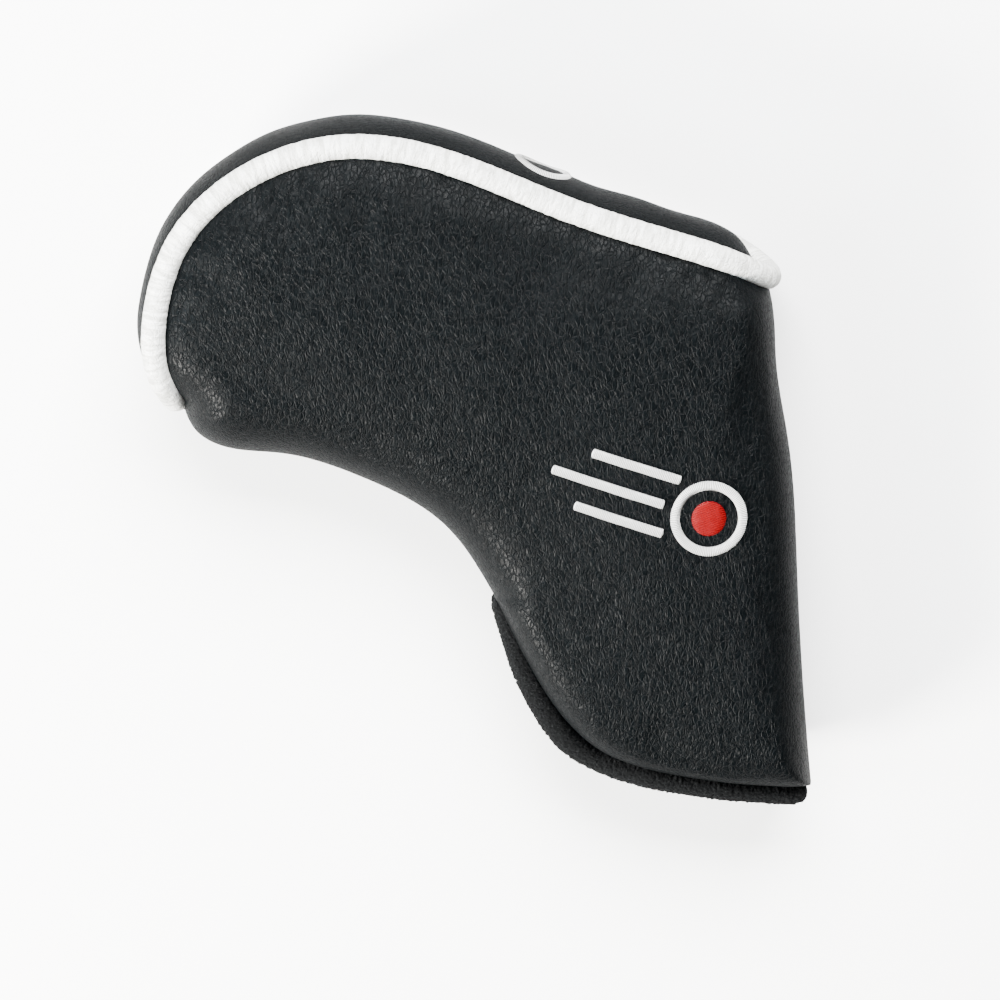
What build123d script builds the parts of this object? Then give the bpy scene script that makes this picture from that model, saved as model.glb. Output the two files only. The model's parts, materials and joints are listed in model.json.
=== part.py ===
from build123d import *
import os

# A padded head cover for a blade putter, lying on its back with its sole to +Y and its mouth to -Y.
# Two L-shaped leather panels meet in a crown seam and a heel seam. A long gusset closes the sole side, edged by
# welt piping. Under the leather come foam and plush, and the plush rolls out into a hem round the mouth and up
# the slit, where magnets hold the front flap shut. The flap bends about the line between the slit's top and the
# heel, so every front layer is cut along that line. The back is flat on the table at Z = 0.

# ---------------------------------------------------------------- driving dimensions, mm
HALF = 20.0  # half of the whole thickness, and the height of the middle plane
LEATHER, FOAM, PLUSH = 1.2, 2.5, 3.5  # the three layers of every wall
BACKING = 0.4  # room between leather and foam, for the stiffener behind the embroidery
LAYER_GAP = 0.05
MATING_GAP = 0.15  # each side of a face where two pieces meet

# Corners of the outline and the radius of each: toe end, toe, heel, mouth at the heel, mouth at the slit, crown
OUTLINE = [(-74.5, 5), (-81, 98), (74, 49), (83, -79.5), (30, -76.5), (-15.2, -3.6)]
TOE_END, TOE, HEEL, MOUTH_HEEL, MOUTH_SLIT, CROWN = OUTLINE
TOE_R, SLIT_R, CROWN_R = 42.0, 14.0, 45.0
SLIT_TOP = (2.6, -32.5)

GUSSET_HALF = 17.0  # half width of the gusset, seam to seam
GUSSET_BULGE = 3.5
GUSSET_END_R = 14.0
GUSSET_REACH = 10.0  # how far the gusset's room reaches to each side of the outline
SOLE_ROLL = (7.0, 3.0)  # how far the panel rolls in and down, beside each run of the outline
FOLD_ROLL = (12.0, 8.0)
ROLL_SHRINK = 0.8  # how much less a deeper form rolls in, for each mm of depth
MOUTH_HALF = 7.0  # half height of the neck's opening
MOUTH_START = 46.0  # X where the opening begins, past the rounded corner
MOUTH_REACH = (12.0, 10.0)  # how far the opening's room reaches out of the outline and into it
SOLE_SPARE = 1.0  # how far past the line from toe end to heel an edge lies before it counts as the sole's

PIPING_R, PIPING_CORD_R, PIPING_OUT = 2.6, 1.6, 1.2
HEM_R, HEM_OUT = 3.2, 2.3
HEM_AT_MOUTH, HEM_AT_SLIT = 9.8, 3.4  # middle of each hem above or below the middle plane
HEM_TRIM = 4.0
HEM_BEND = 7.0

MAGNET_R, MAGNET_T, MAGNET_LOW = 2.4, 2.0, 2.1
MAGNET_INSET = 4.6
MAGNET_SHARES = (0.35, 0.65)  # places between the mouth's corner and the slit's top
TAPE_T = 0.4

EMBROIDERY = 0.7
STITCH_WIDTH = 2.4
EMBLEM_CENTRE, EMBLEM_TURN = (36, -3), -18
EMBLEM_HALF = (27.4, 12.0)  # half axes of the stiffener behind the emblem
EMBLEM_BARS = [((-10.5, 0), 29), ((-5.5, 7), 23), ((-5.5, -7), 23)]  # middle and length of each bar
RING_R, RING_SIDE = 9.5, 15.5
TARGET_R = 4.5
SOLE_MARK_FROM_HEEL, SOLE_RING_R = 58.0, 8.0


# ---------------------------------------------------------------- outline and padded form
def outline_face(outwards=0.0):
    """The cover seen from above, grown outwards or shrunk by an offset."""
    with BuildSketch(mode=Mode.PRIVATE) as plan:
        with BuildLine():
            Polyline(*OUTLINE, close=True)
        make_face()
        for corner, radius in ((TOE, TOE_R), (MOUTH_SLIT, SLIT_R), (CROWN, CROWN_R)):
            fillet(plan.vertices().sort_by_distance(corner)[0], radius)
        if outwards:
            offset(amount=outwards, kind=Kind.INTERSECTION)
    return plan.sketch


def is_sole(edge):
    """Whether an edge of the form belongs to the gusset's side, above the line from toe end to heel."""
    middle = edge @ 0.5
    heel_line = TOE_END[1] + (middle.X - TOE_END[0]) * (HEEL[1] - TOE_END[1]) / (HEEL[0] - TOE_END[0])
    return middle.Y > heel_line + SOLE_SPARE


def form(depth):
    """The whole padded shape, shrunk inwards by a depth."""
    with BuildPart() as padded:
        with BuildSketch(Plane.XY.offset(depth)):
            add(outline_face(-depth))
        extrude(amount=2 * (HALF - depth))
        for end in (0, -1):
            for on_sole, (inwards, down) in ((True, SOLE_ROLL), (False, FOLD_ROLL)):
                flat = padded.faces().sort_by(Axis.Z)[end]
                run = flat.edges().filter_by(lambda edge: is_sole(edge) == on_sole)
                chamfer(run, length=inwards - ROLL_SHRINK * depth, length2=down, reference=flat)
    return padded.part


def shell(outer_depth, inner_depth):
    """One layer of the wall, all the way round."""
    with BuildPart() as layer:
        add(form(outer_depth))
        add(form(inner_depth), mode=Mode.SUBTRACT)
    return layer.part


def prism(plan, low, high):
    """A flat-ended solid over a plan, between two heights."""
    with BuildPart() as upright:
        with BuildSketch(Plane.XY.offset(low)):
            add(plan)
        extrude(amount=high - low)
    return upright.part


def ring_plan(outwards, inwards):
    """The band between two offsets of the outline."""
    with BuildSketch(mode=Mode.PRIVATE) as band:
        add(outline_face(outwards))
        add(outline_face(-inwards), mode=Mode.SUBTRACT)
    return band.sketch


def tube(corners, radii, radius, bore=0.0):
    """A round tube along straight runs joined by arcs."""
    with BuildLine(mode=Mode.PRIVATE) as route:
        FilletPolyline(*corners, radius=radii)
    path = route.wires()[0]
    with BuildPart() as swept:
        with BuildSketch(Plane(path @ 0, z_dir=path % 0)):
            Circle(radius)
            if bore:
                Circle(bore, mode=Mode.SUBTRACT)
        sweep(path=path)
    return swept.part


def biggest(part):
    """The largest solid of a part, without the crumbs that a cut leaves."""
    return part.solids().sort_by(SortBy.VOLUME)[-1]


# ---------------------------------------------------------------- planes and cutting forms
mouth_heel, slit_top = Vector(*MOUTH_HEEL), Vector(*SLIT_TOP)
bend = (mouth_heel - slit_top).normalized()
bend_plane = Plane((*SLIT_TOP, 0), x_dir=bend, z_dir=(bend.Y, -bend.X, 0))  # its normal points into the flap
toe_end, heel = Vector(*TOE_END), Vector(*HEEL)
sole_chord = (heel - toe_end).normalized()
sole_plane = Plane((*TOE_END, 0), x_dir=sole_chord, z_dir=(-sole_chord.Y, sole_chord.X, 0))


def outwards_of(start, end):
    """The direction that points out of the cover from a run of the outline."""
    heading = (Vector(*end) - Vector(*start)).normalized()
    return Vector(-heading.Y, heading.X)


def grown_corner(corner, outwards, height):
    """A corner of the outline after the outline has grown, at a height above the table."""
    at = OUTLINE.index(corner)
    before = outwards_of(OUTLINE[at - 1], corner)
    after = outwards_of(corner, OUTLINE[(at + 1) % len(OUTLINE)])
    place = Vector(*corner) + (before + after) * (outwards / (1 + before.dot(after)))
    return Vector(place.X, place.Y, height)


def gusset_reach(spare=0.0):
    """All the room behind the sole between the two piped seams, with rounded ends."""
    low, high = HALF - GUSSET_HALF - spare, HALF + GUSSET_HALF + spare
    with BuildPart() as band:
        add(prism(ring_plan(GUSSET_REACH, GUSSET_REACH), low, high))
        split(bisect_by=sole_plane, keep=Keep.TOP)
        ends = band.faces().filter_by(lambda face: abs(sole_plane.to_local_coords(face.center()).Z) < LAYER_GAP)
        fillet(ends.edges().filter_by(lambda edge: abs(edge.tangent_at(0.5).Z) < LAYER_GAP), GUSSET_END_R)
    return band.part


# ---------------------------------------------------------------- rooms that are cut out of the walls
gusset_room = gusset_reach(MATING_GAP)
gusset_envelope = gusset_reach()

with BuildPart() as mouth_room:
    add(prism(ring_plan(*MOUTH_REACH), HALF - MOUTH_HALF, HALF + MOUTH_HALF))
    split(bisect_by=bend_plane.offset(LAYER_GAP), keep=Keep.TOP)
    split(bisect_by=Plane.YZ.offset(MOUTH_START), keep=Keep.TOP)

# ---------------------------------------------------------------- piping round the gusset, ends together at the toe
piping_route = [grown_corner(TOE_END, PIPING_OUT, HALF + PIPING_R / 2)]
for side, corners in ((1, (TOE_END, TOE, HEEL)), (-1, (HEEL, TOE, TOE_END))):
    piping_route += [grown_corner(corner, PIPING_OUT, HALF + side * GUSSET_HALF) for corner in corners]
piping_route.append(grown_corner(TOE_END, PIPING_OUT, HALF - PIPING_R / 2 - MATING_GAP))
toe_bend = TOE_R + PIPING_OUT
piping_bends = [GUSSET_END_R, toe_bend, GUSSET_END_R, GUSSET_END_R, toe_bend, GUSSET_END_R]
piping_room = tube(piping_route, piping_bends, PIPING_R + LAYER_GAP)
pieces = {
    "piping_cover": tube(piping_route, piping_bends, PIPING_R, PIPING_CORD_R + LAYER_GAP),
    "piping_cord": tube(piping_route, piping_bends, PIPING_CORD_R),
}

# ---------------------------------------------------------------- hems of plush, rolled out over the mouth's edge
slit_out = outwards_of(MOUTH_SLIT, CROWN)
mouth_out = outwards_of(MOUTH_HEEL, MOUTH_SLIT)
mouth_run = (Vector(*MOUTH_SLIT) - mouth_heel).normalized()


def hem(side, radius):
    """A round hem along mouth and slit, above the middle plane (side 1) or below it (side -1)."""
    high, low = HALF + side * HEM_AT_MOUTH, HALF + side * HEM_AT_SLIT
    start = grown_corner(MOUTH_HEEL, HEM_OUT, high) + mouth_run * HEM_TRIM
    opening = mouth_heel + mouth_out * HEM_OUT + mouth_run * (MOUTH_HEEL[0] - MOUTH_START)
    end = slit_top + slit_out * HEM_OUT
    corners = [start, Vector(opening.X, opening.Y, high), grown_corner(MOUTH_SLIT, HEM_OUT, low),
               Vector(end.X, end.Y, low)]
    return tube(corners, [HEM_BEND, HEM_BEND], radius)


hem_rooms = [hem(side, HEM_R + LAYER_GAP) for side in (1, -1)]
pieces["back_hem"] = hem(-1, HEM_R)
with BuildPart() as flap_hem:
    add(hem(1, HEM_R))
    split(bisect_by=bend_plane.offset(MATING_GAP), keep=Keep.TOP)
pieces["flap_hem"] = biggest(flap_hem.part)

# ---------------------------------------------------------------- magnets in the slit's walls, and their tape
magnet_corner = Vector(*MOUTH_SLIT) - slit_out * MAGNET_INSET
magnet_places = [magnet_corner + (slit_top - Vector(*MOUTH_SLIT)) * share for share in MAGNET_SHARES]


def discs(side, radius, low, high):
    """Upright discs at the magnets' places, between two distances from the middle plane."""
    with BuildPart() as group:
        with BuildSketch(Plane.XY.offset(HALF + side * (low + high) / 2)):
            with Locations(*[(place.X, place.Y) for place in magnet_places]):
                Circle(radius)
        extrude(amount=(high - low) / 2, both=True)
    return group.part


magnet_high = MAGNET_LOW + MAGNET_T
tape_low = MAGNET_LOW - LAYER_GAP - TAPE_T
for name, side in (("flap", 1), ("back", -1)):
    pieces[name + "_magnets"] = discs(side, MAGNET_R, MAGNET_LOW, magnet_high)
    pieces[name + "_magnet_tape"] = discs(side, MAGNET_R, tape_low, MAGNET_LOW - LAYER_GAP)
magnet_rooms = [discs(side, MAGNET_R + LAYER_GAP, tape_low - LAYER_GAP, magnet_high + LAYER_GAP)
                for side in (1, -1)]

# ---------------------------------------------------------------- walls: leather, foam and plush
foam_out = LEATHER + BACKING
plush_out = foam_out + FOAM + LAYER_GAP
layers = {"panel": (0, LEATHER), "foam": (foam_out, foam_out + FOAM), "plush": (plush_out, plush_out + PLUSH)}

for kind, (outer, inner) in layers.items():
    with BuildPart() as gusset:
        add(prism(ring_plan(GUSSET_BULGE - outer, inner - GUSSET_BULGE), 0, 2 * HALF))
        add(gusset_envelope, mode=Mode.INTERSECT)
        add(piping_room, mode=Mode.SUBTRACT)
    pieces["sole_gusset" if kind == "panel" else "gusset_" + kind] = biggest(gusset.part)

    with BuildPart() as wall:
        add(shell(outer, inner))
        for room in [gusset_room, mouth_room.part, piping_room] + hem_rooms:
            add(room, mode=Mode.SUBTRACT)
        if kind != "panel":
            for room in magnet_rooms:
                add(room, mode=Mode.SUBTRACT)

    with BuildPart() as back:
        add(wall.part)
        split(bisect_by=Plane.XY.offset(HALF - MATING_GAP), keep=Keep.BOTTOM)
    pieces["back_" + kind] = biggest(back.part)

    for name, shift, kept in (("front_", -MATING_GAP, Keep.BOTTOM), ("flap_", MATING_GAP, Keep.TOP)):
        with BuildPart() as front:
            add(wall.part)
            split(bisect_by=Plane.XY.offset(HALF + MATING_GAP), keep=Keep.TOP)
            split(bisect_by=bend_plane.offset(shift), keep=kept)
        pieces[name + kind] = biggest(front.part)

# ---------------------------------------------------------------- embroidery on the leather, stiffener under it
face_height = 2 * HALF
emblem_plane = Plane((*EMBLEM_CENTRE, face_height + LAYER_GAP)).rotated((0, 0, EMBLEM_TURN))
with BuildPart() as emblem_white:
    with BuildSketch(emblem_plane):
        for middle, length in EMBLEM_BARS:
            with Locations(middle):
                SlotOverall(length, STITCH_WIDTH)
        with Locations((RING_SIDE, 0)):
            Circle(RING_R)
            Circle(RING_R - STITCH_WIDTH, mode=Mode.SUBTRACT)
    extrude(amount=EMBROIDERY)
with BuildPart() as emblem_red:
    with BuildSketch(emblem_plane):
        with Locations((RING_SIDE, 0)):
            Circle(TARGET_R)
    extrude(amount=EMBROIDERY)
backing_height = face_height - LEATHER - BACKING + LAYER_GAP
with BuildPart() as emblem_backing:
    with BuildSketch(Plane((*EMBLEM_CENTRE, backing_height)).rotated((0, 0, EMBLEM_TURN))):
        Ellipse(*EMBLEM_HALF)
    extrude(amount=BACKING - 2 * LAYER_GAP)
pieces["emblem_white"] = emblem_white.part
pieces["emblem_red"] = emblem_red.part
pieces["emblem_backing"] = emblem_backing.part

sole_out = outwards_of(TOE, HEEL)
sole_mark = heel - (heel - Vector(*TOE)).normalized() * SOLE_MARK_FROM_HEEL


def sole_plane_at(outwards):
    """A plane facing out of the gusset at its emblem, grown outwards from the outline."""
    place = sole_mark + sole_out * outwards
    return Plane((place.X, place.Y, HALF), z_dir=sole_out)


with BuildPart() as gusset_emblem:
    with BuildSketch(sole_plane_at(GUSSET_BULGE + LAYER_GAP)):
        Circle(SOLE_RING_R)
        Circle(SOLE_RING_R - STITCH_WIDTH, mode=Mode.SUBTRACT)
    extrude(amount=EMBROIDERY)
with BuildPart() as gusset_backing:
    with BuildSketch(sole_plane_at(GUSSET_BULGE - LEATHER - BACKING + LAYER_GAP)):
        Circle(SOLE_RING_R + STITCH_WIDTH)
    extrude(amount=BACKING - 2 * LAYER_GAP)
pieces["gusset_emblem"] = gusset_emblem.part
pieces["gusset_emblem_backing"] = gusset_backing.part

# ---------------------------------------------------------------- write every piece
os.makedirs("parts", exist_ok=True)
for name, piece in pieces.items():
    piece.label = name
    export_step(piece, f"parts/{name}.step")
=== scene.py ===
import json
import bpy
import numpy as np
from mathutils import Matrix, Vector


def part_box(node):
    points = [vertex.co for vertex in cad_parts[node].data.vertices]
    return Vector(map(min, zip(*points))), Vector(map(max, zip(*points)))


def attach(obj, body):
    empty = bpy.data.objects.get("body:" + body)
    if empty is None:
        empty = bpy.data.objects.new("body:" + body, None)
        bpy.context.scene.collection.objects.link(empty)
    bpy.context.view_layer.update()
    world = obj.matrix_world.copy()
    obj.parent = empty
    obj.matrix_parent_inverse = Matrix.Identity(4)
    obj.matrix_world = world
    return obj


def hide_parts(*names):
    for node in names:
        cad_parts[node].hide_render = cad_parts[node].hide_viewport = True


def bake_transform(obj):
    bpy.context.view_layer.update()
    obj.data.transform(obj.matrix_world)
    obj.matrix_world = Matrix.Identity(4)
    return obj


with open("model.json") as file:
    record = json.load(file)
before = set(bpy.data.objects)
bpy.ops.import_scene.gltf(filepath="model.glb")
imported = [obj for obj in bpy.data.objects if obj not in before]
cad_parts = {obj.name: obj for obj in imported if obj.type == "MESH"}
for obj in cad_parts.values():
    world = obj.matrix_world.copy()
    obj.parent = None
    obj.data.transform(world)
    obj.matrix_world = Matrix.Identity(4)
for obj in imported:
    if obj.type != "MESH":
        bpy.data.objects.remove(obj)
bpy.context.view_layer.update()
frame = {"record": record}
print("cover: frame loaded")

mm = 0.001
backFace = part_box("back_panel")[0][2]
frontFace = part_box("front_panel")[1][2]
middleZ = (backFace + frontFace) / 2  # the plane where front and back meet
bendJoint = next(joint for joint in frame["record"]["behaviour"]["joints"] if joint["name"] == "flap_bend")
bendPlace, bendAxis = np.array(bendJoint["pos_m"]), np.array(bendJoint["axis"])

# The padded form seen from above: four runs that follow each other clockwise, in mm
cover = {
    "sole": [(-73.6, 18.5), (-77.4, 28.5), (-77.4, 42), (-71.5, 59.5), (-53.5, 76), (-31, 82.3), (-9, 79),
             (20, 67.7), (46, 59.2), (63, 53.2), (71.6, 48.2)],
    "heel": [(71.6, 48.2), (73.2, 40), (74.0, 28), (77.3, 7.7), (80, -25.6), (82.4, -61), (84.2, -80)],
    "rim": [(84.2, -80), (62, -77.6), (43, -74.4), (30, -69.6), (18.6, -58.2), (10.6, -44.5), (3.6, -31)],
    "crown": [(3.6, -31), (-8.4, -13.6), (-28.6, -1.6), (-49.2, 4.6), (-64, 6.6), (-70.2, 10.6),
              (-73.6, 18.5)],
    "gussetHalf": 17 * mm,  # half width of the gusset, seam to seam
    "gussetTurn": 22 * mm,  # length of each rounded gusset end
    "rimHalf": ([0, 0.06, 0.2, 0.42, 0.6, 0.85, 1], [4, 9, 12, 11, 7, 5, 0]),  # mm by share of the rim
    "topAtMiddle": 20.3 * mm,  # height of the face above the middle plane
    "topSlope": 0.03,  # how much the face rises towards the sole
    "fullness": 1.6 * mm,  # how much the face still rises far from its edges
    "fullnessReach": 34 * mm,
    "leather": 1.2 * mm,
    "wall": 7.2 * mm,
    "cornerPower": 7,  # how sharply the rolls of rim and heel meet; higher is sharper
    "rollShape": 2.1,
    "seed": 4,
}
rollWidth = {"sole": 11 * mm, "heel": 9 * mm, "rim": 9 * mm, "crown": 17 * mm}
# 0.5 stands upright at the edge, 1 leaves it at a slope
rollPower = {"sole": 0.85, "heel": 0.5, "rim": 0.55, "crown": 0.5}
relief = {
    "calm": 12 * mm,  # width of the band at the edge where the slow hollows fade out
    "wave": 0.28 * mm,
    "waveSize": 30 * mm,
    "pucker": 0.22 * mm,  # small puckers beside the piping
    "puckerSize": 6 * mm,
    "puckerReach": 7 * mm,
    "hollow": 0.7 * mm,  # one crease-like hollow below the piping
    "hollowAt": (-27.24 * mm, 62 * mm),
    "hollowSize": (5 * mm, 16 * mm),
    "hollowLean": 0.12,
}


def smoothRun(points, count):
    # a natural cubic spline through the points by chord length, walked in even steps of length
    pts = np.array(points, float) * mm
    knots = np.concatenate([[0], np.cumsum(np.linalg.norm(np.diff(pts, axis=0), axis=1))])
    h = np.diff(knots)[:, None]
    n = len(pts)
    system = np.eye(n)
    rhs = np.zeros((n, 2))
    inner = np.arange(1, n - 1)
    system[inner, inner - 1] = h[:-1, 0]
    system[inner, inner] = 2 * (h[:-1, 0] + h[1:, 0])
    system[inner, inner + 1] = h[1:, 0]
    rhs[1:-1] = 6 * (np.diff(pts, axis=0)[1:] / h[1:] - np.diff(pts, axis=0)[:-1] / h[:-1])
    bends = np.linalg.solve(system, rhs)
    t = np.linspace(0, knots[-1], 4000)
    i = np.clip(np.searchsorted(knots, t, "right") - 1, 0, n - 2)
    a, b, w = (knots[i + 1] - t)[:, None], (t - knots[i])[:, None], h[i]
    curve = (bends[i] * a**3 + bends[i + 1] * b**3) / (6 * w) + (pts[i] / w - bends[i] * w / 6) * a \
        + (pts[i + 1] / w - bends[i + 1] * w / 6) * b
    return evenly(curve, count)


def evenly(curve, count):
    # the same line with its points spaced evenly along it
    walked = np.concatenate([[0], np.cumsum(np.linalg.norm(np.diff(curve, axis=0), axis=1))])
    at = np.linspace(0, walked[-1], count)
    return np.stack([np.interp(at, walked, curve[:, k]) for k in range(curve.shape[1])], 1)


def outwardOf(curve):
    # unit vectors to the left of the way along a clockwise outline, which point out of the cover
    along = np.gradient(curve, axis=0)
    along /= np.linalg.norm(along, axis=1, keepdims=True)
    return np.stack([-along[:, 1], along[:, 0]], 1)


def softNoise(x, y, size, seed, waves=14):
    # a sum of plane waves with random headings and lengths around one size, between about -1 and 1
    rng = np.random.default_rng(seed)
    heading = rng.uniform(0, 2 * np.pi, waves)
    stretch = 2 * np.pi / (size * rng.uniform(0.7, 1.6, waves))
    phase = rng.uniform(0, 2 * np.pi, waves)
    total = sum(np.sin((x * np.cos(a) + y * np.sin(a)) * k + p) for a, k, p in zip(heading, stretch, phase))
    return total / np.sqrt(waves)


def meshPiece(name, points, closedU=False, closedV=False, flip=False, uv=None):
    # a grid of points (rows, columns, 3) as quads, wrapped round where closed, with u by row and v by column
    rows, columns = points.shape[:2]
    r = np.arange(rows if closedU else rows - 1)
    c = np.arange(columns if closedV else columns - 1)
    rr, cc = np.meshgrid(r, c, indexing="ij")
    nextR, nextC = (rr + 1) % rows, (cc + 1) % columns
    corners = [rr * columns + cc, nextR * columns + cc, nextR * columns + nextC, rr * columns + nextC]
    quads = np.stack(corners, -1).reshape(-1, 4)
    if flip:
        quads = quads[:, ::-1]
    mesh = bpy.data.meshes.new(name)
    mesh.vertices.add(rows * columns)
    mesh.vertices.foreach_set("co", points.reshape(-1).astype(np.float32))
    mesh.loops.add(quads.size)
    mesh.loops.foreach_set("vertex_index", quads.reshape(-1).astype(np.int32))
    mesh.polygons.add(len(quads))
    mesh.polygons.foreach_set("loop_start", np.arange(0, quads.size, 4, dtype=np.int32))
    mesh.update(calc_edges=True)
    mesh.polygons.foreach_set("use_smooth", np.ones(len(quads), bool))
    if uv is not None:
        u, v = uv
        corners = np.stack([np.stack([u[rr], v[cc]], -1), np.stack([u[rr + 1], v[cc]], -1),
                            np.stack([u[rr + 1], v[cc + 1]], -1), np.stack([u[rr], v[cc + 1]], -1)], 2)
        corners = corners.reshape(-1, 4, 2)
        if flip:
            corners = corners[:, ::-1]
        layer = mesh.uv_layers.new(name="UVMap")
        layer.data.foreach_set("uv", corners.reshape(-1).astype(np.float32))
    mesh.validate()
    piece = bpy.data.objects.new(name, mesh)
    bpy.context.scene.collection.objects.link(piece)
    return piece


def applied(piece):
    # the piece with its modifiers made part of its mesh
    bpy.context.view_layer.update()
    solid = bpy.data.meshes.new_from_object(piece.evaluated_get(bpy.context.evaluated_depsgraph_get()))
    piece.modifiers.clear()
    piece.data = solid
    return piece


def thickened(piece, thickness):
    # gives a sheet its thickness on its inner side
    wall = piece.modifiers.new("wall", "SOLIDIFY")
    wall.thickness, wall.offset, wall.use_even_offset = thickness, -1, False
    return applied(piece)


def tubeAlong(path, radius, around, out, closed=False):
    # a ring across the path at every place, its first axis as near the outward direction as it can be
    along = np.roll(path, -1, 0) - np.roll(path, 1, 0) if closed else np.gradient(path, axis=0)
    along /= np.linalg.norm(along, axis=1, keepdims=True)
    side = np.concatenate([out, np.zeros((len(path), 1))], 1)
    side -= along * (side * along).sum(1, keepdims=True)
    side /= np.linalg.norm(side, axis=1, keepdims=True)
    across = np.cross(side, along)
    angle = np.linspace(0, 2 * np.pi, around, endpoint=False)[None, :, None]
    ring = np.cos(angle) * side[:, None] + np.sin(angle) * across[:, None]
    return path[:, None] + ring * radius[..., None]


runPoints = 620  # points along each run of the outline
toeCorner, mouthCorner = 150, 262  # where the panels' grid turns its corners, along sole and rim
runs = {name: smoothRun(cover[name], runPoints) for name in ("sole", "heel", "rim", "crown")}
soleLength = np.linalg.norm(np.diff(runs["sole"], axis=0), axis=1).sum()


def gussetHalf(share):
    # half width of the gusset at a share of its length: full, with a rounded end at each side
    end = np.clip(np.minimum(share, 1 - share) * soleLength / cover["gussetTurn"], 0, 1)
    return cover["gussetHalf"] * np.sqrt(end * (2 - end))


def rimHalf(share):
    # height of the leather's edge above the middle plane, from the heel along the mouth and up the slit
    return np.interp(share, *cover["rimHalf"]) * mm


even = np.linspace(0, 1, runPoints)
borderPlaces = np.concatenate([runs[name] for name in runs])
borderEdges = np.concatenate([gussetHalf(even), 0 * even, rimHalf(even), 0 * even])
borderRolls = np.concatenate([np.full(runPoints, rollWidth[name]) for name in runs])
borderPowers = np.concatenate([np.full(runPoints, rollPower[name]) for name in runs])
soleAndHeel = slice(0, 2 * runPoints)
rimPart = slice(2 * runPoints, 3 * runPoints)
crownPart = slice(3 * runPoints, 4 * runPoints)


def lineDistance(x, y, line, away):
    # distance to a line: the nearer of the two stretches that meet at its nearest point
    nearest = away.argmin(1)
    place = np.stack([x, y], 1)
    best = np.full(len(x), np.inf)
    for offset in (-1, 0):
        i = np.clip(nearest + offset, 0, len(line) - 2)
        start, stretch = line[i], line[i + 1] - line[i]
        share = ((place - start) * stretch).sum(1) / np.maximum((stretch ** 2).sum(1), 1e-18)
        foot = start + stretch * np.clip(share, 0, 1)[:, None]
        best = np.minimum(best, np.linalg.norm(place - foot, axis=1))
    return best


def borderAt(x, y):
    # distance to the outline, rounded where rim and heel meet (a power mean of the distances to the rim and
    # to the rest), and edge height, roll and power there, shared between the nearest stretches
    found = []
    for start in range(0, len(x), 4000):
        px, py = x[start:start + 4000], y[start:start + 4000]
        away = (px[:, None] - borderPlaces[:, 0]) ** 2 + (py[:, None] - borderPlaces[:, 1]) ** 2
        weight = 1 / (away + (0.25 * mm) ** 2) ** 2
        total = weight.sum(1)
        sole, rim, crown = [lineDistance(px, py, borderPlaces[part], away[:, part]) / mm + 1e-6
                            for part in (soleAndHeel, rimPart, crownPart)]
        power = cover["cornerPower"]
        distance = (np.minimum(sole, crown) ** -power + rim ** -power) ** (-1 / power) * mm
        fields = [(weight * field).sum(1) / total for field in (borderEdges, borderRolls, borderPowers)]
        found.append(np.stack([distance] + fields))
    return np.concatenate(found, 1)


def rolledHeight(x, y, top):
    # height above the middle plane: from the edge, rolling over like an ellipse up to the face
    distance, edge, roll, power = borderAt(x, y)
    share = np.clip(distance / roll, 0, 1)
    rise = (1 - (1 - share) ** cover["rollShape"]) ** power
    return edge + (top - edge) * rise, distance


def formHeight(x, y):
    # the front face: the rolled form plus a fullness that grows with distance from the edge, slow waves,
    # puckers that fade from the piping as a bell, and one bell-shaped hollow
    top = cover["topAtMiddle"] + cover["topSlope"] * y
    height, distance = rolledHeight(x, y, top)
    height += cover["fullness"] * np.clip(distance / cover["fullnessReach"], 0, 1) ** 1.2
    inside = np.clip(distance / relief["calm"], 0, 1)
    height += relief["wave"] * inside * softNoise(x, y, relief["waveSize"], cover["seed"])
    seam = runs["sole"][::6]
    soleAway = np.sqrt(((x[:, None] - seam[:, 0]) ** 2 + (y[:, None] - seam[:, 1]) ** 2).min(1))
    pucker = np.exp(-(soleAway / relief["puckerReach"]) ** 2) * np.clip(soleAway / (2 * mm), 0, 1)
    height += relief["pucker"] * pucker * softNoise(x, y, relief["puckerSize"], cover["seed"] + 1)
    over, up = x - relief["hollowAt"][0], y - relief["hollowAt"][1]
    width, length = relief["hollowSize"]
    hollow = np.exp(-((over + relief["hollowLean"] * up) / width) ** 2 - (up / length) ** 2)
    return middleZ + height - relief["hollow"] * hollow * inside


def backHeight(x, y):
    # the back: the same form downwards, flat where it lies
    return middleZ - rolledHeight(x, y, middleZ - backFace)[0]


def planGrid(columns, rows, low=(0, 0), high=(1, 1)):
    # a sheet between four sides (toe, mouth, sole and heel, crown and slit): each point is the sum of the two
    # straight blends between facing sides, less the blend of the four corners (a Coons patch)
    outer = np.concatenate([runs["sole"][toeCorner:], runs["heel"][1:]])
    inner = np.concatenate([runs["rim"][mouthCorner:], runs["crown"][1:]])[::-1]
    toeSide = runs["sole"][:toeCorner + 1]
    mouthSide = runs["rim"][:mouthCorner + 1][::-1]
    s = np.linspace(low[0], high[0], columns)
    t = 0.5 - 0.5 * np.cos(np.pi * np.linspace(low[1], high[1], rows))
    ease = 0.65 * (0.5 - 0.5 * np.cos(np.pi * s)) + 0.35 * s
    sides = [evenly(side, 2001) for side in (inner, outer, toeSide, mouthSide)]
    fine = np.linspace(0, 1, 2001)
    bottom, up, left, right = [np.stack([np.interp(q, fine, side[:, k]) for k in (0, 1)], 1)
                               for side, q in zip(sides, (ease, ease, t, t))]
    u, v = ease[:, None, None], t[None, :, None]
    corner = {(i, j): sides[j][-i if i else 0] for i in (0, 1) for j in (0, 1)}
    return ((1 - v) * bottom[:, None] + v * up[:, None] + (1 - u) * left[None] + u * right[None]
            - (1 - u) * (1 - v) * corner[0, 0] - u * (1 - v) * corner[1, 0]
            - (1 - u) * v * corner[0, 1] - u * v * corner[1, 1])


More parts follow.
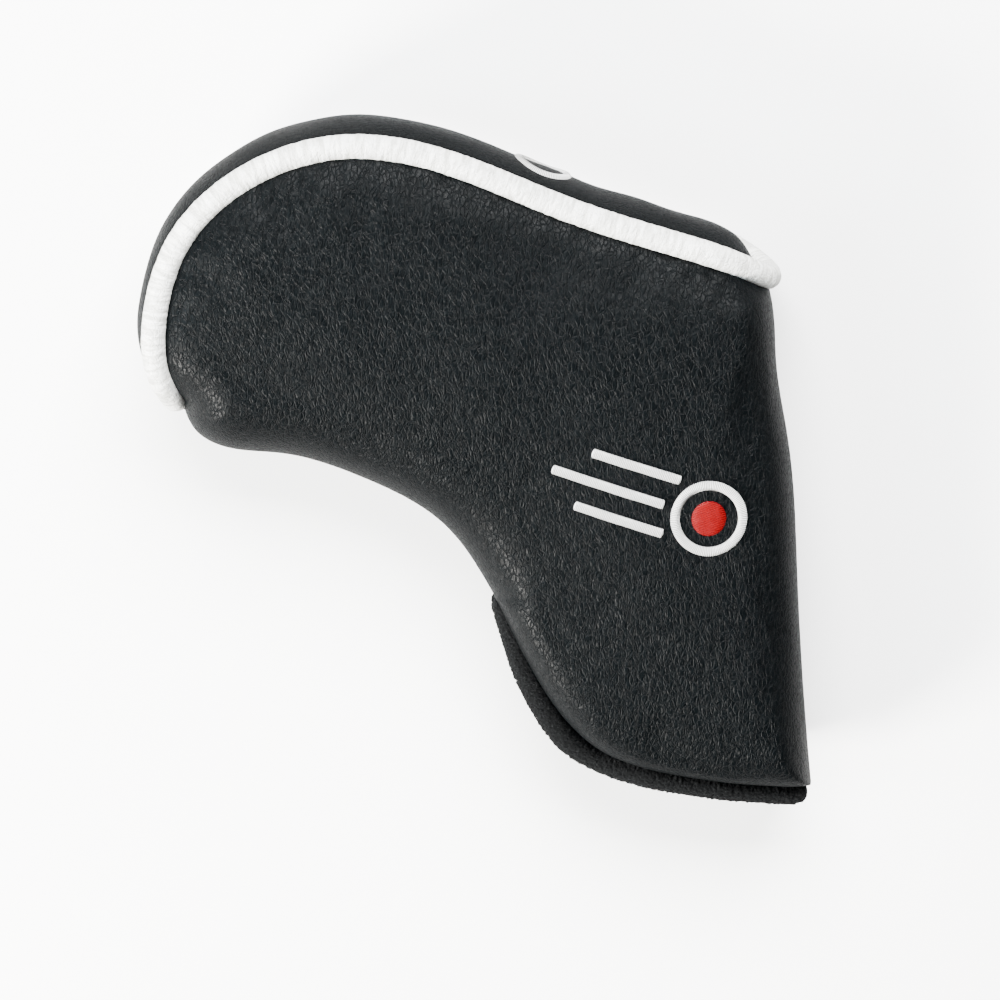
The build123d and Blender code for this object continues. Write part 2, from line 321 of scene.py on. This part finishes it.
def liftedSheet(name, plan, height, flip=False):
    # a plan grid raised to a height worked out from x and y
    x, y = plan[..., 0].reshape(-1), plan[..., 1].reshape(-1)
    points = np.stack([x, y, height(x, y)], 1).reshape(plan.shape[0], plan.shape[1], 3)
    return meshPiece(name, points, flip=flip), points


bendAcross = np.array([bendAxis[1], -bendAxis[0], 0])  # from the cover's side of the bend towards the flap's
bendAcross *= np.sign(bendAcross @ (np.array([*runs["rim"][mouthCorner], 0]) - bendPlace * [1, 1, 0]))


def bends(piece):
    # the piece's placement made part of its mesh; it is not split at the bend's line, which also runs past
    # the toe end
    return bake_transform(piece)


# The leather panels

pillow = {"columns": 110, "rows": 46, "pinned": 2, "pressure": 3.0, "frames": 20, "cap": 1.8 * mm}


def pressedOut():
    # cloth pressure on a coarse copy of the front, pinned at its border: how far each place swells, capped
    plan = planGrid(pillow["columns"], pillow["rows"])
    sheet, start = liftedSheet("pressing", plan, formHeight)
    count = pillow["columns"] * pillow["rows"]
    column, row = np.divmod(np.arange(count), pillow["rows"])
    fromSide = np.minimum(column, pillow["columns"] - 1 - column)
    fromEnd = np.minimum(row, pillow["rows"] - 1 - row)
    border = np.minimum(fromSide, fromEnd) < pillow["pinned"]
    pins = sheet.vertex_groups.new(name="pins")
    pins.add([int(i) for i in np.flatnonzero(border)], 1.0, "REPLACE")
    cloth = sheet.modifiers.new("cloth", "CLOTH")
    settings = cloth.settings
    settings.quality, settings.mass = 8, 0.15
    settings.tension_stiffness = settings.compression_stiffness = 12
    settings.shear_stiffness, settings.bending_stiffness = 6, 0.4
    settings.tension_damping = settings.compression_damping = 8
    settings.air_damping = 4
    settings.use_pressure, settings.uniform_pressure_force = True, pillow["pressure"]
    settings.effector_weights.gravity = 0
    settings.vertex_group_mass = "pins"
    cloth.collision_settings.use_collision = False
    scene = bpy.context.scene
    cloth.point_cache.frame_start, cloth.point_cache.frame_end = 1, pillow["frames"]
    for step in range(1, pillow["frames"] + 1):
        scene.frame_set(step)
    pressed = sheet.evaluated_get(bpy.context.evaluated_depsgraph_get()).to_mesh()
    moved = np.empty(count * 3, np.float32)
    pressed.vertices.foreach_get("co", moved)
    swell = moved.reshape(-1, 3)[:, 2] - start.reshape(-1, 3)[:, 2]
    print("cover: pressed out", round(float(swell.max() / mm), 2), round(float(swell.min() / mm), 2), "mm")
    scene.frame_set(1)
    bpy.data.objects.remove(sheet)
    cap = pillow["cap"]
    return plan.reshape(-1, 2), cap * np.tanh(swell / cap)


def frontHeight(x, y):
    # the form's height plus the swell, shared between the nearest places of the pressed copy
    height = formHeight(x, y)
    places, swell = swellField
    added = np.empty(len(x))
    for start in range(0, len(x), 4000):
        part = slice(start, start + 4000)
        away = (x[part, None] - places[:, 0]) ** 2 + (y[part, None] - places[:, 1]) ** 2
        weight = 1 / (away + (0.7 * mm) ** 2) ** 2
        added[part] = (weight * swell).sum(1) / weight.sum(1)
    return height + added


swellField = pressedOut()
plan = planGrid(300, 120)
frontPanel, _ = liftedSheet("frontPanel", plan, frontHeight)
backPanel, _ = liftedSheet("backPanel", plan[::2], backHeight, flip=True)
thickened(frontPanel, cover["leather"])
thickened(backPanel, cover["leather"])
bends(frontPanel)
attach(backPanel, "cover")
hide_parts("front_panel", "flap_panel", "emblem_backing")
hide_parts("back_panel")
print("cover: panels", len(frontPanel.data.polygons))

# The gusset, a long band between the two piped seams

gusset = {
    "bulge": 6.8 * mm,
    "arch": 2.2,  # how flat-topped the bulge is
    "heelCalm": 13 * mm,  # length at the heel over which the bulge dies away
    "ripple": 0.12 * mm,
    "rippleSize": 14 * mm,
    "tuck": 0.6 * mm,
    "columns": 320,
    "rows": 36,
}


def gussetSurface(columns, rows, inset=0.0):
    # along the sole and across it: out of the outline by a flat-topped arch that dies away at the heel, and
    # up by the half width times the share across
    share = np.linspace(0, 1, columns)
    line = evenly(runs["sole"], columns)
    out = outwardOf(line)
    across = np.linspace(-1, 1, rows)
    half = gussetHalf(share)
    calm = np.sin(np.pi / 2 * np.clip((1 - share) * soleLength / gusset["heelCalm"], 0, 1))
    swell = (calm * half / cover["gussetHalf"])[:, None] * (1 - np.abs(across) ** gusset["arch"])[None]
    walk = share[:, None] * soleLength
    level = across[None] * cover["gussetHalf"]
    ripple = gusset["ripple"] * softNoise(walk, level, gusset["rippleSize"], 9) * swell
    reach = gusset["bulge"] * swell + ripple - gusset["tuck"] - inset
    z = middleZ + half[:, None] * across[None] * (1 - inset / cover["gussetHalf"])
    return np.concatenate([line[:, None] + out[:, None] * reach[..., None], z[..., None]], 2)


gussetPoints = gussetSurface(gusset["columns"], gusset["rows"])
soleGusset = meshPiece("soleGusset", gussetPoints, flip=True)
thickened(soleGusset, cover["leather"])
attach(soleGusset, "cover")
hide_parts("sole_gusset", "gusset_emblem_backing")
print("cover: gusset")

# The piping

piping = {
    "radius": 3.0 * mm,
    "out": 0.9 * mm,
    "up": 1.3 * mm,
    "along": 1500,
    "around": 24,
    "relax": 24,  # passes of the running mean that eases the loop
    "wrinkle": 0.013,  # share of the radius
    "wrinkleSize": 2.6 * mm,
    "slant": 0.8 * mm,  # how far the folds lean along the piping
}


def pipingPath():
    # the loop round the gusset: its front seam from toe to heel, then its back seam home, a little outside
    # them, eased by a running mean; beside it the outward direction at every place
    share = np.concatenate([even, even[::-1]])
    line = np.concatenate([runs["sole"], runs["sole"][::-1]])
    out = np.concatenate([outwardOf(runs["sole"]), outwardOf(runs["sole"])[::-1]])
    side = np.repeat([1, -1], runPoints)
    lift = side * (gussetHalf(share) + piping["up"])
    loop = np.concatenate([line + out * piping["out"], (middleZ + lift)[:, None], out], 1)
    loop = np.vstack([loop, loop[:1]])
    length = np.concatenate([[0], np.cumsum(np.linalg.norm(np.diff(loop[:, :3], axis=0), axis=1))])
    at = np.linspace(0, length[-1], piping["along"], endpoint=False)
    loop = np.stack([np.interp(at, length, loop[:, k]) for k in range(5)], 1)
    for _ in range(piping["relax"]):
        loop = 0.5 * loop + 0.25 * (np.roll(loop, 1, 0) + np.roll(loop, -1, 0))
    return loop[:, :3], loop[:, 3:]


pipingLoop, pipingOut = pipingPath()
step = np.linalg.norm(np.diff(np.vstack([pipingLoop, pipingLoop[:1]]), axis=0), axis=1)
walked = np.concatenate([[0], np.cumsum(step)])
ringAngle = np.linspace(0, 2 * np.pi, piping["around"], endpoint=False)
slanted = walked[:-1, None] + piping["slant"] * np.sin(ringAngle)[None]
crinkle = softNoise(slanted, ringAngle[None] * 2 * mm, piping["wrinkleSize"], 21)
crinkle += 0.7 * softNoise(walked[:-1, None], ringAngle[None] * mm, piping["wrinkleSize"] / 2, 22)
pipingRadius = piping["radius"] * (1 + piping["wrinkle"] * crinkle)
pipingPoints = tubeAlong(pipingLoop, pipingRadius, piping["around"], pipingOut, closed=True)
pipingPiece = meshPiece("whitePiping", pipingPoints, closedU=True, closedV=True,
                        uv=(walked, np.linspace(0, 1, piping["around"] + 1)))
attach(pipingPiece, "cover")
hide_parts("piping_cover", "piping_cord")
print("cover: piping")

# The plush hems

hem = {
    "radius": 3.3 * mm,
    "along": 520,
    "around": 36,
    "fuzz": 0.11 * mm,
    "length": 110 * mm,
    "share": (0.012, 0.985),  # the stretch of the rim that it covers, from the heel
    "reach": ([0, 0.05, 0.4, 0.6, 0.8, 1], [0.8, 2.4, 2.2, 3.1, 1.3, -2.2]),  # mm outside the rim
    "half": ([0, 0.08, 0.22, 0.4, 0.52, 1], [3.1, 5.2, 7.6, 7.2, 3.7, 3.35]),  # mm off the middle plane
    "girth": ([0, 0.3, 0.6, 0.85, 1], [1.05, 1.05, 1.2, 1.1, 1]),  # times the radius
}


def hemPiece(name, side):
    # a soft roll along mouth and slit: a tube with rounded ends, whose reach, height and girth go by the
    # share of the rim, roughened by noise; it slips under the leather at the slit's top
    share = np.linspace(*hem["share"], hem["along"])
    line = np.stack([np.interp(share, even, runs["rim"][:, k]) for k in (0, 1)], 1)
    out = outwardOf(line)
    reach, half = (np.interp(share, *hem[key]) * mm for key in ("reach", "half"))
    path = np.concatenate([line + out * reach[:, None], (middleZ + side * half)[:, None]], 1)
    end = np.clip(np.minimum(share - share[0], share[-1] - share) / 0.02, 0, 1)
    girth = hem["radius"] * np.interp(share, *hem["girth"]) * np.sqrt(end * (2 - end)) + 0.02 * mm
    angle = np.linspace(0, 2 * np.pi, hem["around"], endpoint=False)
    walk = share * hem["length"]
    turned = angle[None] * hem["radius"]
    fuzz = sum(softNoise(walk[:, None], turned, size * mm, 31 + side) for size in (1.6, 0.8))
    radius = girth[:, None] + hem["fuzz"] * fuzz * end[:, None]
    points = tubeAlong(path, radius, hem["around"], out)
    points[0], points[-1] = path[0], path[-1]
    piece = meshPiece(name, points, closedV=True, uv=(walk, np.linspace(0, 1, hem["around"] + 1)))
    return piece


flapHem = hemPiece("flapHem", 1)
backHem = hemPiece("backHem", -1)
bends(flapHem)
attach(backHem, "cover")
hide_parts("flap_hem")
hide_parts("back_hem")
print("cover: hems")

# The plush lining

lining = {
    "columns": 150,
    "rows": 60,
    "low": (0.10, 0.14),  # the stretch of the plan grid that it covers
    "high": (0.99, 0.78),
    "pile": 0.8 * mm,
    "least": 0.9 * mm,  # gap to the middle plane
    "gussetGrid": (160, 20),
    "gussetInset": 6 * mm,
}
liningPlan = planGrid(lining["columns"], lining["rows"], lining["low"], lining["high"])


def frontLiningHeight(x, y):
    # the front less its wall, never nearer the middle plane than a small gap
    return np.maximum(frontHeight(x, y) - cover["wall"], middleZ + lining["least"])


def backLiningHeight(x, y):
    # the back plus its wall, as far from the middle plane
    return np.minimum(backHeight(x, y) + cover["wall"], middleZ - lining["least"])


frontLining, _ = liftedSheet("frontLining", liningPlan, frontLiningHeight)
backLining, _ = liftedSheet("backLining", liningPlan, backLiningHeight, flip=True)
gussetLining = meshPiece("gussetLining", gussetSurface(*lining["gussetGrid"], inset=lining["gussetInset"]))
for piece in (frontLining, backLining, gussetLining):
    thickened(piece, lining["pile"])
bends(frontLining)
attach(backLining, "cover")
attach(gussetLining, "cover")
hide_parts("front_plush", "front_foam", "flap_plush", "flap_foam", "flap_magnets",
            "flap_magnet_tape")
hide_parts("back_plush", "back_foam", "back_magnets", "back_magnet_tape")
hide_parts("gusset_plush", "gusset_foam")
print("cover: lining")

# The embroidery, laid on the leather

emblem = {
    "centre": (42, -3),
    "turn": -18,
    "width": 2.4 * mm,
    "raise": 0.75 * mm,
    "sunk": 0.12 * mm,  # how far the thread's edges are let into the leather
    "stitch": 0.42 * mm,
    "arch": 2.6,
    "ring": 8.3,
    "side": 15.5,
    "target": 4.4,
    "dome": 0.8 * mm,  # height of the target's middle
    "ridge": 0.06 * mm,  # height of a single stitch on bands
    "fineRidge": 0.05 * mm,  # and on the target and the gusset's ring
    "bars": [(-10.5, 0, 29), (-5.5, 7, 23), (-5.5, -7, 23)],  # middle along, middle across, length
}
stitchTurn = 2 * np.pi / emblem["stitch"]


def threadArch(v):
    # height of a raised band of thread over its width, v from -1 to 1: a flat-topped arch
    return emblem["raise"] * (1 - np.abs(v) ** emblem["arch"])


def placed(x, y):
    # emblem coordinates in mm, turned and moved to the emblem's place
    a = np.radians(emblem["turn"])
    return (np.stack([x * np.cos(a) - y * np.sin(a), x * np.sin(a) + y * np.cos(a)], -1)
            + np.array(emblem["centre"])) * mm


def satinBand(name, line, width, closed=False, across=17):
    # a raised band of thread along a line on the leather: an arch across it, plus a sine for each stitch
    along = np.roll(line, -1, 0) - np.roll(line, 1, 0) if closed else np.gradient(line, axis=0)
    along /= np.linalg.norm(along, axis=1, keepdims=True)
    side = np.stack([-along[:, 1], along[:, 0]], 1)
    v = np.linspace(-1, 1, across)
    walk = np.concatenate([[0], np.cumsum(np.linalg.norm(np.diff(line, axis=0), axis=1))])
    ragged = 1 + 0.06 * np.sin(walk * stitchTurn + 1.3 * np.sin(walk / (1.7 * mm)))
    end = np.ones(len(line)) if closed else np.clip(np.minimum(walk, walk[-1] - walk) / (0.3 * mm), 0.05, 1)
    offset = v[None] * (width / 2 * ragged * end)[:, None]
    places = line[:, None] + side[:, None] * offset[..., None]
    ridge = emblem["ridge"] * np.sin(walk[:, None] * stitchTurn + 1.6 * v[None])
    lift = threadArch(v)[None] * end[:, None] + ridge - emblem["sunk"]
    x, y = places[..., 0].reshape(-1), places[..., 1].reshape(-1)
    z = frontHeight(x, y).reshape(lift.shape) + lift
    points = np.concatenate([places, z[..., None]], 2)
    if closed:
        walk = np.append(walk, walk[-1] + np.linalg.norm(line[0] - line[-1]))
    return meshPiece(name, points, closedU=closed, uv=(walk, v))


ringTurn = np.linspace(0, 2 * np.pi, 520, endpoint=False)
ringLine = placed(emblem["side"] + emblem["ring"] * np.cos(ringTurn), emblem["ring"] * np.sin(ringTurn))
whiteRing = satinBand("whiteRing", ringLine, emblem["width"], closed=True)
whiteBars = []
for barMiddle, barHeight, barLength in emblem["bars"]:
    barLine = placed(barMiddle + np.linspace(-0.5, 0.5, 400) * barLength, np.full(400, barHeight))
    whiteBars.append(satinBand("whiteBar", barLine, emblem["width"]))


def satinDisc(name, centre, radius):
    # a filled spot of satin stitch: chords across the disc, domed by their length, with a sine per stitch
    v = np.linspace(-1, 1, 60)
    u = np.linspace(-1, 1, 40)
    chord = np.sqrt(1 - (0.995 * v) ** 2)
    x = centre[0] + radius * u[None] * chord[:, None]
    y = centre[1] + radius * v[:, None] + 0 * x
    places = placed(x, y)
    flatX, flatY = places[..., 0].reshape(-1), places[..., 1].reshape(-1)
    dome = (1 - np.abs(u) ** 4)[None] * (chord ** 0.5)[:, None]
    ridge = emblem["fineRidge"] * np.sin(v * radius * mm * stitchTurn)[:, None]
    z = frontHeight(flatX, flatY).reshape(dome.shape) + emblem["dome"] * dome + ridge - emblem["sunk"]
    return meshPiece(name, np.concatenate([places, z[..., None]], 2), flip=True,
                     uv=(v * radius * mm, u))


redTarget = satinDisc("redTarget", (emblem["side"], 0), emblem["target"])

soleMark = {"share": 0.69, "radius": 6.5 * mm, "width": 2.3 * mm, "around": 300, "across": 13}


def gussetBand(name):
    # a ring of satin stitch on the gusset: its places along and across the gusset, each a weighted mean of
    # the four grid points round it, lifted outwards by the thread's arch
    turn = np.linspace(0, 2 * np.pi, soleMark["around"], endpoint=False)
    v = np.linspace(-1, 1, soleMark["across"])
    reach = soleMark["radius"] + v[None] * soleMark["width"] / 2
    alongSole = soleMark["share"] * soleLength + reach * np.cos(turn)[:, None]
    rise = reach * np.sin(turn)[:, None]
    column = alongSole / soleLength * (gusset["columns"] - 1)
    row = (rise / cover["gussetHalf"] + 1) / 2 * (gusset["rows"] - 1)
    c0, r0 = column.astype(int), row.astype(int)
    fc, fr = (column - c0)[..., None], (row - r0)[..., None]
    g = gussetPoints
    place = (g[c0, r0] * (1 - fc) * (1 - fr) + g[c0 + 1, r0] * fc * (1 - fr)
             + g[c0, r0 + 1] * (1 - fc) * fr + g[c0 + 1, r0 + 1] * fc * fr)
    out = outwardOf(evenly(runs["sole"], gusset["columns"]))[c0]
    ridge = emblem["fineRidge"] * np.sin(turn * soleMark["radius"] * stitchTurn)
    lift = threadArch(v)[None] + ridge[:, None] - emblem["sunk"]
    place[..., :2] += out * lift[..., None]
    walk = np.concatenate([turn, [2 * np.pi]]) * soleMark["radius"]
    return meshPiece(name, place, closedU=True, uv=(walk, v))


gussetRing = gussetBand("gussetRing")
for piece in (whiteRing, *whiteBars, redTarget, gussetRing):
    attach(piece, "cover")
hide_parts("emblem_white")
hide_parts("emblem_red")
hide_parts("gusset_emblem")
print("cover: embroidery")


# Finishes

def newGroup(name, inputs, outputs):
    # an empty shader node group with its named sockets
    tree = bpy.data.node_groups.new(name, "ShaderNodeTree")
    for label, kind, value in inputs:
        socket = tree.interface.new_socket(label, in_out="INPUT", socket_type=kind)
        socket.default_value = value
    for label, kind in outputs:
        tree.interface.new_socket(label, in_out="OUTPUT", socket_type=kind)
    return tree, tree.nodes.new("NodeGroupInput"), tree.nodes.new("NodeGroupOutput")


def node(tree, kind, **values):
    # a node with its settings and the plain values of its inputs
    made = tree.nodes.new("ShaderNode" + kind)
    for key, value in values.items():
        if hasattr(made, key):
            setattr(made, key, value)
        else:
            made.inputs[key.replace("_", " ")].default_value = value
    return made


def math(tree, operation, a, b):
    # one sum or product of two sockets or numbers
    made = tree.nodes.new("ShaderNodeMath")
    made.operation = operation
    for i, source in enumerate((a, b)):
        if isinstance(source, (int, float)):
            made.inputs[i].default_value = source
        else:
            tree.links.new(source, made.inputs[i])
    return made.outputs[0]


def ramp(tree, source, low, high):
    # 0 below low, 1 above high, smooth between
    made = tree.nodes.new("ShaderNodeMapRange")
    made.interpolation_type = "SMOOTHSTEP"
    made.inputs["From Min"].default_value = low
    made.inputs["From Max"].default_value = high
    tree.links.new(source, made.inputs["Value"])
    return made.outputs["Result"]


def grainGroup():
    # leather grain: narrow upright creases between small cells, broken up by noise; height, crease and patch
    number = "NodeSocketFloat"
    tree, gin, gout = newGroup("leatherGrain", [("Cell", number, 1100.0), ("Stretch", number, 0.5)],
                               [("Height", number), ("Crease", number), ("Patch", number)])
    links = tree.links
    coord = node(tree, "TexCoord")
    scaleBy = tree.nodes.new("ShaderNodeCombineXYZ")
    links.new(gin.outputs["Cell"], scaleBy.inputs["X"])
    links.new(math(tree, "MULTIPLY", gin.outputs["Cell"], gin.outputs["Stretch"]), scaleBy.inputs["Y"])
    links.new(gin.outputs["Cell"], scaleBy.inputs["Z"])
    scaled = tree.nodes.new("ShaderNodeVectorMath")
    scaled.operation = "MULTIPLY"
    links.new(coord.outputs["Object"], scaled.inputs[0])
    links.new(scaleBy.outputs[0], scaled.inputs[1])
    warp = node(tree, "TexNoise", Scale=0.55, Detail=2.0, Roughness=0.5)
    links.new(scaled.outputs[0], warp.inputs["Vector"])
    warped = tree.nodes.new("ShaderNodeVectorMath")
    warped.operation = "MULTIPLY_ADD"
    links.new(warp.outputs["Color"], warped.inputs[0])
    warped.inputs[1].default_value = (1.6, 1.6, 1.6)
    links.new(scaled.outputs[0], warped.inputs[2])
    cells = node(tree, "TexVoronoi", feature="DISTANCE_TO_EDGE", Scale=1.0)
    links.new(warped.outputs[0], cells.inputs["Vector"])
    fine = node(tree, "TexVoronoi", feature="DISTANCE_TO_EDGE", Scale=2.3)
    links.new(warped.outputs[0], fine.inputs["Vector"])
    noise = node(tree, "TexNoise", Scale=0.9, Detail=4.0, Roughness=0.6)
    links.new(scaled.outputs[0], noise.inputs["Vector"])
    crease = ramp(tree, cells.outputs["Distance"], 0.0, 0.16)
    small = ramp(tree, fine.outputs["Distance"], 0.0, 0.12)
    patch = ramp(tree, noise.outputs["Fac"], 0.35, 0.65)
    body = math(tree, "ADD", math(tree, "MULTIPLY", crease, 0.62), math(tree, "MULTIPLY", small, 0.18))
    total = math(tree, "ADD", body, math(tree, "MULTIPLY", noise.outputs["Fac"], 0.5))
    links.new(total, gout.inputs["Height"])
    links.new(crease, gout.inputs["Crease"])
    links.new(patch, gout.inputs["Patch"])
    return tree


def speckleGroup():
    # short fibres: fine clumps and bright tips; height and a tip mask
    tree, gin, gout = newGroup("fibreSpeckle", [("Size", "NodeSocketFloat", 2500.0)],
                               [("Height", "NodeSocketFloat"), ("Tips", "NodeSocketFloat")])
    coord = node(tree, "TexCoord")
    fine = node(tree, "TexNoise", Detail=5.0, Roughness=0.75)
    clump = node(tree, "TexVoronoi", feature="F1")
    for texture, share in ((fine, 1.0), (clump, 0.6)):
        tree.links.new(coord.outputs["Object"], texture.inputs["Vector"])
        tree.links.new(math(tree, "MULTIPLY", gin.outputs["Size"], share), texture.inputs["Scale"])
    lumps = math(tree, "SUBTRACT", 1.0, clump.outputs["Distance"])
    tree.links.new(math(tree, "ADD", lumps, fine.outputs["Fac"]), gout.inputs["Height"])
    tree.links.new(ramp(tree, fine.outputs["Fac"], 0.56, 0.72), gout.inputs["Tips"])
    return tree


grain, speckle = grainGroup(), speckleGroup()


def principled(name, **values):
    # a new material with a Principled shader and its plain values
    made = bpy.data.materials.new(name)
    made.use_nodes = True
    shader = made.node_tree.nodes["Principled BSDF"]
    for key, value in values.items():
        shader.inputs[key.replace("_", " ")].default_value = value
    return made, made.node_tree, shader


def mixed(tree, mask, low, high):
    # a colour between two, by a mask
    made = tree.nodes.new("ShaderNodeMix")
    made.data_type = "RGBA"
    tree.links.new(mask, made.inputs[0])
    made.inputs[6].default_value = (*low, 1)
    made.inputs[7].default_value = (*high, 1)
    return made.outputs[2]


def useGroup(tree, group, **values):
    # a shared group placed in a material with its own values
    made = tree.nodes.new("ShaderNodeGroup")
    made.node_tree = group
    for key, value in values.items():
        made.inputs[key].default_value = value
    return made


def bumped(tree, shader, height, distance, strength=1.0):
    # a height as bumps on the shader's surface
    made = node(tree, "Bump", Strength=strength, Distance=distance)
    tree.links.new(height, made.inputs["Height"])
    tree.links.new(made.outputs["Normal"], shader.inputs["Normal"])


def blackLeather():
    # near-black leather, a little glossier on its cells than in its creases
    made, tree, shader = principled("blackLeather", IOR=1.5, Specular_IOR_Level=0.045)
    skin = useGroup(tree, grain, Cell=960.0, Stretch=0.5)
    tree.links.new(mixed(tree, skin.outputs["Patch"], (0.0002, 0.0005, 0.0007), (0.0007, 0.0012, 0.0015)),
                   shader.inputs["Base Color"])
    rough = tree.nodes.new("ShaderNodeMapRange")
    rough.inputs["To Min"].default_value, rough.inputs["To Max"].default_value = 0.50, 0.36
    tree.links.new(skin.outputs["Crease"], rough.inputs["Value"])
    tree.links.new(rough.outputs["Result"], shader.inputs["Roughness"])
    bumped(tree, shader, skin.outputs["Height"], 0.18 * mm, 1.0)
    return made


def whiteLeather():
    # white leather drawn round the cord, with fine folds across it and painted shade in their troughs
    made, tree, shader = principled("whiteLeather", IOR=1.5, Roughness=0.36, Specular_IOR_Level=0.5)
    skin = useGroup(tree, grain, Cell=700.0, Stretch=0.9)
    uv = node(tree, "UVMap")
    stretch = node(tree, "Mapping", Scale=(900.0, 3.0, 1.0))
    tree.links.new(uv.outputs["UV"], stretch.inputs["Vector"])
    folds = node(tree, "TexNoise", Scale=1.0, Detail=3.0, Roughness=0.6)
    tree.links.new(stretch.outputs["Vector"], folds.inputs["Vector"])
    crest = ramp(tree, folds.outputs["Fac"], 0.36, 0.62)
    # painted shade: the colour darkens from the folds' crests into their troughs, following the bump
    tree.links.new(mixed(tree, crest, (0.46, 0.46, 0.43), (0.76, 0.765, 0.74)), shader.inputs["Base Color"])
    height = math(tree, "ADD", folds.outputs["Fac"], math(tree, "MULTIPLY", skin.outputs["Height"], 0.3))
    bumped(tree, shader, height, 0.5 * mm, 0.9)
    return made


def plushPile():
    # short black pile with paler tips
    made, tree, shader = principled("blackPlush", Roughness=0.95, Specular_IOR_Level=0.06, Sheen_Weight=0.02,
                                    Sheen_Roughness=0.5, Sheen_Tint=(0.75, 0.8, 0.85, 1))
    pile = useGroup(tree, speckle, Size=2000.0)
    tree.links.new(mixed(tree, pile.outputs["Tips"], (0.0008, 0.0009, 0.0010), (0.022, 0.023, 0.023)),
                   shader.inputs["Base Color"])
    bumped(tree, shader, pile.outputs["Height"], 0.6 * mm, 1.0)
    return made


def satinThread(name, grooveShade, light, gloss):
    # parallel threads across the band, with painted shade between them
    made, tree, shader = principled(name, Roughness=0.42, Specular_IOR_Level=gloss, Anisotropic=0.5)
    uv = node(tree, "UVMap")
    stretch = node(tree, "Mapping", Scale=(1 / emblem["stitch"], 0.35, 1.0))
    tree.links.new(uv.outputs["UV"], stretch.inputs["Vector"])
    rows = node(tree, "TexWave", wave_type="BANDS", bands_direction="X", Scale=0.314, Distortion=1.0,
                Detail=1.0)
    tree.links.new(stretch.outputs["Vector"], rows.inputs["Vector"])
    crest = ramp(tree, rows.outputs["Fac"], 0.1, 0.75)
    # painted shade: the first colour darkens the grooves between the threads
    tree.links.new(mixed(tree, crest, grooveShade, light), shader.inputs["Base Color"])
    fibres = useGroup(tree, speckle, Size=5200.0)
    height = math(tree, "ADD", rows.outputs["Fac"], math(tree, "MULTIPLY", fibres.outputs["Height"], 0.15))
    bumped(tree, shader, height, 0.25 * mm, 1.0)
    return made


leather, whitePu, plush = blackLeather(), whiteLeather(), plushPile()
# each thread's first colour is painted shade between its threads, its second the thread's own colour
whiteThread = satinThread("whiteThread", (0.20, 0.20, 0.19), (0.74, 0.74, 0.73), 0.35)
redThread = satinThread("redThread", (0.06, 0.0004, 0.0008), (0.15, 0.0008, 0.0018), 0.08)
finishes = {
    leather: [frontPanel, backPanel, soleGusset],
    whitePu: [pipingPiece],
    plush: [flapHem, backHem, frontLining, backLining, gussetLining],
    whiteThread: [whiteRing, *whiteBars, gussetRing],
    redThread: [redTarget],
}
for material, made in finishes.items():
    for piece in made:
        piece.data.materials.clear()
        piece.data.materials.append(material)
print("cover: materials")

# Floor, light and camera

studio = {
    "floor": 3.0,
    "distance": 1.1,
    "lean": 12,  # degrees from straight above, towards the sole
    "view": (5.6, -4.5),
    "span": 0.246,  # width of what the camera sees
    "sensor": 36,
    "world": 0.34,
    "seenFloor": 0.97,
    "throwingFloor": 0.30,
}
floorMesh = bpy.data.meshes.new("floor")
corner = studio["floor"] / 2
floorCorners = [(x * corner, y * corner, 0) for x, y in ((-1, -1), (1, -1), (1, 1), (-1, 1))]
floorMesh.from_pydata(floorCorners, [], [(0, 1, 2, 3)])
floor = bpy.data.objects.new("floor", floorMesh)
bpy.context.scene.collection.objects.link(floor)
paleFloor, floorTree, floorShader = principled("paleFloor", Roughness=0.95)
seen = node(floorTree, "LightPath")  # pale to the camera, and subdued where it lights the cover
floorColour = mixed(floorTree, seen.outputs["Is Camera Ray"], (studio["throwingFloor"],) * 3,
                    (studio["seenFloor"],) * 3)
floorTree.links.new(floorColour, floorShader.inputs["Base Color"])
floorMesh.materials.append(paleFloor)


def softBox(name, place, target, size, power, colour=(1, 1, 1)):
    # a rectangular lamp at a place, turned to its target
    lamp = bpy.data.lights.new(name, "AREA")
    lamp.shape, lamp.size, lamp.size_y = "RECTANGLE", size[0], size[1]
    lamp.energy, lamp.color = power, colour
    made = bpy.data.objects.new(name, lamp)
    bpy.context.scene.collection.objects.link(made)
    made.location = place
    direction = np.array(target, float) - np.array(place, float)
    made.rotation_euler = Vector(direction).to_track_quat("-Z", "Y").to_euler()


softBox("overhead", (0.1, 1.0, 1.0), (0, 0, 0), (1.2, 0.8), 170)
softBox("leftWarm", (-0.85, -0.55, 0.5), (0, -0.03, 0.02), (0.4, 0.4), 120, (1.0, 0.97, 0.92))
softBox("leftCool", (-0.7, 0.0, 0.62), (-0.06, 0.02, 0.03), (0.3, 0.55), 12, (0.78, 0.92, 1.0))
softBox("rightCool", (1.1, 0.1, 0.35), (0.05, 0, 0.02), (0.3, 0.5), 2, (0.97, 1.0, 0.93))
world = bpy.data.worlds.new("studio")
bpy.context.scene.world = world
world.use_nodes = True
background = world.node_tree.nodes["Background"]
background.inputs["Color"].default_value = (1, 1, 1, 1)
background.inputs["Strength"].default_value = studio["world"]

lens = bpy.data.cameras.new("view")
camera = bpy.data.objects.new("view", lens)
bpy.context.scene.collection.objects.link(camera)
lean = np.radians(studio["lean"])
aim = np.array([studio["view"][0] * mm, studio["view"][1] * mm, frontFace * 0.9])
camera.location = aim + studio["distance"] * np.array([0, np.sin(lean), np.cos(lean)])
camera.rotation_euler = (-lean, 0, 0)
lens.sensor_width = studio["sensor"]
lens.lens = studio["sensor"] * studio["distance"] / studio["span"]
lens.clip_start = 0.05
bpy.context.scene.camera = camera
print("cover: stage")
